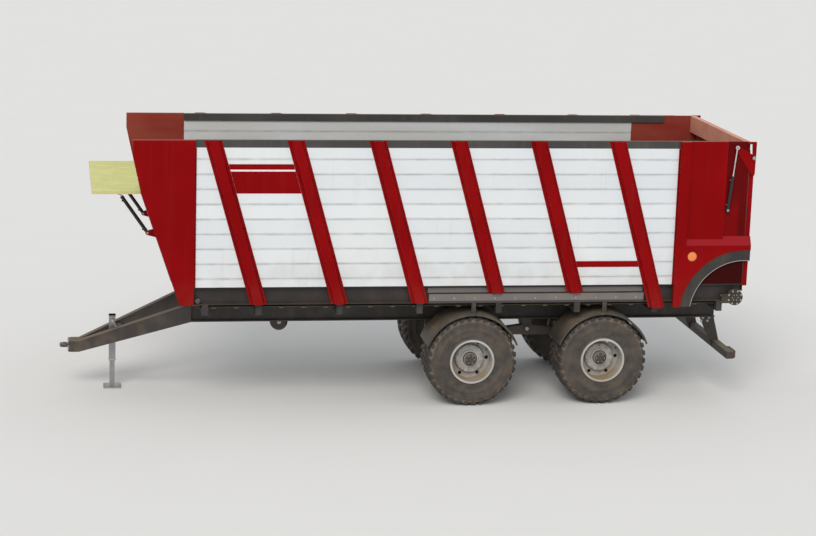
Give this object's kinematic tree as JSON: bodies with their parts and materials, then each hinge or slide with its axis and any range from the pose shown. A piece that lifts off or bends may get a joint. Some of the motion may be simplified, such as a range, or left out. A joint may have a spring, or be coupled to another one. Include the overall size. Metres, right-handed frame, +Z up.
{
  "type": "silage wagon",
  "caption": "Two-axle silage wagon with pale board walls, slanted red posts, belt floor, folding front flap and lifting tailgate.",
  "frame": {"origin": "on the ground under the middle of the machine's overall length and width", "axes": "+X towards the tailgate, +Y towards the machine's right side, +Z up; the drawbar eye points along -X"},
  "size_m": [9.32, 2.55, 3.636],
  "materials": {
    "red_paint": "gloss",
    "red_paint_dusty": "satin",
    "pale_boards": "satin",
    "dark_rail": "satin",
    "chassis_paint": "satin",
    "galvanised": "dull",
    "belt": "worn",
    "guard_rubber": "matte",
    "mudguard": "matte",
    "tyre": "matte",
    "rim": "satin",
    "cylinder": "gloss",
    "rod_chrome": "polished",
    "lamp_orange": "gloss",
    "lamp_red": "gloss",
    "cast_eye": "worn"
  },
  "bodies": {
    "wagon": {"air_tank": "chassis_paint", "arch_guards": "guard_rubber", "axle_front": "chassis_paint", "axle_rear": "chassis_paint", "bearers": "chassis_paint", "belt_drives": "chassis_paint", "belt_rollers": "galvanised", "cross_members": "chassis_paint", "drawbar": "chassis_paint", "drawbar_eye": "cast_eye", "floor_belt": "belt", "floor_deck": "galvanised", "front_ladder": "galvanised", "front_panel_left": "red_paint", "front_panel_right": "red_paint", "front_wall": "red_paint", "gate_hangers": "red_paint", "leaf_springs": "chassis_paint", "main_beam_left": "chassis_paint", "main_beam_right": "chassis_paint", "mudguards": "mudguard", "parking_jack": "galvanised", "posts_left": "red_paint", "posts_right": "red_paint", "rear_bumper": "chassis_paint", "rear_header": "red_paint_dusty", "rear_lamps": "lamp_red", "rear_side_left": "red_paint", "rear_side_right": "red_paint", "side_lamps": "lamp_orange", "side_wall_left": "pale_boards", "side_wall_right": "pale_boards", "sill_left": "chassis_paint", "sill_right": "chassis_paint", "spring_hangers": "chassis_paint", "top_rail_left": "dark_rail", "top_rail_right": "dark_rail"},
    "wheel_front_left": {"tyre_front_left": "tyre", "rim_front_left": "rim"},
    "wheel_front_right": {"tyre_front_right": "tyre", "rim_front_right": "rim"},
    "wheel_rear_left": {"tyre_rear_left": "tyre", "rim_rear_left": "rim"},
    "wheel_rear_right": {"tyre_rear_right": "tyre", "rim_rear_right": "rim"},
    "front_flap": {"front_flap": "red_paint_dusty"},
    "flap_barrels": {"flap_barrels": "cylinder"},
    "flap_rods": {"flap_rods": "rod_chrome"},
    "tailgate": {"tailgate": "red_paint"},
    "gate_barrels": {"gate_barrels": "cylinder"},
    "gate_rods": {"gate_rods": "rod_chrome"}
  },
  "joints": [
    {"name": "wheel_front_left_spin", "type": "hinge", "parent": "wagon", "child": "wheel_front_left", "pos_m": [0.85, -0.975, 0.625], "axis": [0, 1, 0], "continuous": true},
    {"name": "wheel_front_right_spin", "type": "hinge", "parent": "wagon", "child": "wheel_front_right", "pos_m": [0.85, 0.975, 0.625], "axis": [0, 1, 0], "continuous": true},
    {"name": "wheel_rear_left_spin", "type": "hinge", "parent": "wagon", "child": "wheel_rear_left", "pos_m": [2.66, -0.975, 0.625], "axis": [0, 1, 0], "continuous": true},
    {"name": "wheel_rear_right_spin", "type": "hinge", "parent": "wagon", "child": "wheel_rear_right", "pos_m": [2.66, 0.975, 0.625], "axis": [0, 1, 0], "continuous": true},
    {"name": "flap_fold", "type": "hinge", "parent": "wagon", "child": "front_flap", "pos_m": [-3.595, 0, 2.935], "axis": [0, 1, 0], "range_deg": [0, 78]},
    {"name": "flap_barrel_pivot", "type": "hinge", "parent": "wagon", "child": "flap_barrels", "pos_m": [-3.4998, 0, 2.3], "axis": [0, 1, 0], "range_deg": [-1, 20.74]},
    {"name": "flap_rod_slide", "type": "slide", "parent": "flap_barrels", "child": "flap_rods", "axis": [-0.5721, 0, 0.8201], "range_m": [-0.001, 0.26381]},
    {"name": "gate_lift", "type": "hinge", "parent": "wagon", "child": "tailgate", "pos_m": [4.63, 0, 3.415], "axis": [0, -1, 0], "range_deg": [0, 85]},
    {"name": "gate_barrel_pivot", "type": "hinge", "parent": "wagon", "child": "gate_barrels", "pos_m": [4.3, 0, 2.7], "axis": [0, 1, 0], "range_deg": [-1, 14.11]},
    {"name": "gate_rod_slide", "type": "slide", "parent": "gate_barrels", "child": "gate_rods", "axis": [0.0984, 0, 0.9952], "range_m": [-0.3545, 0.001]}
  ],
  "couplings": [
    {"joint": "flap_barrel_pivot", "follows": "flap_fold", "ratio": 0.2531},
    {"joint": "flap_rod_slide", "follows": "flap_fold", "m_per_rad": 0.19305},
    {"joint": "gate_barrel_pivot", "follows": "gate_lift", "ratio": 0.15424},
    {"joint": "gate_rod_slide", "follows": "gate_lift", "m_per_rad": -0.23828}
  ]
}
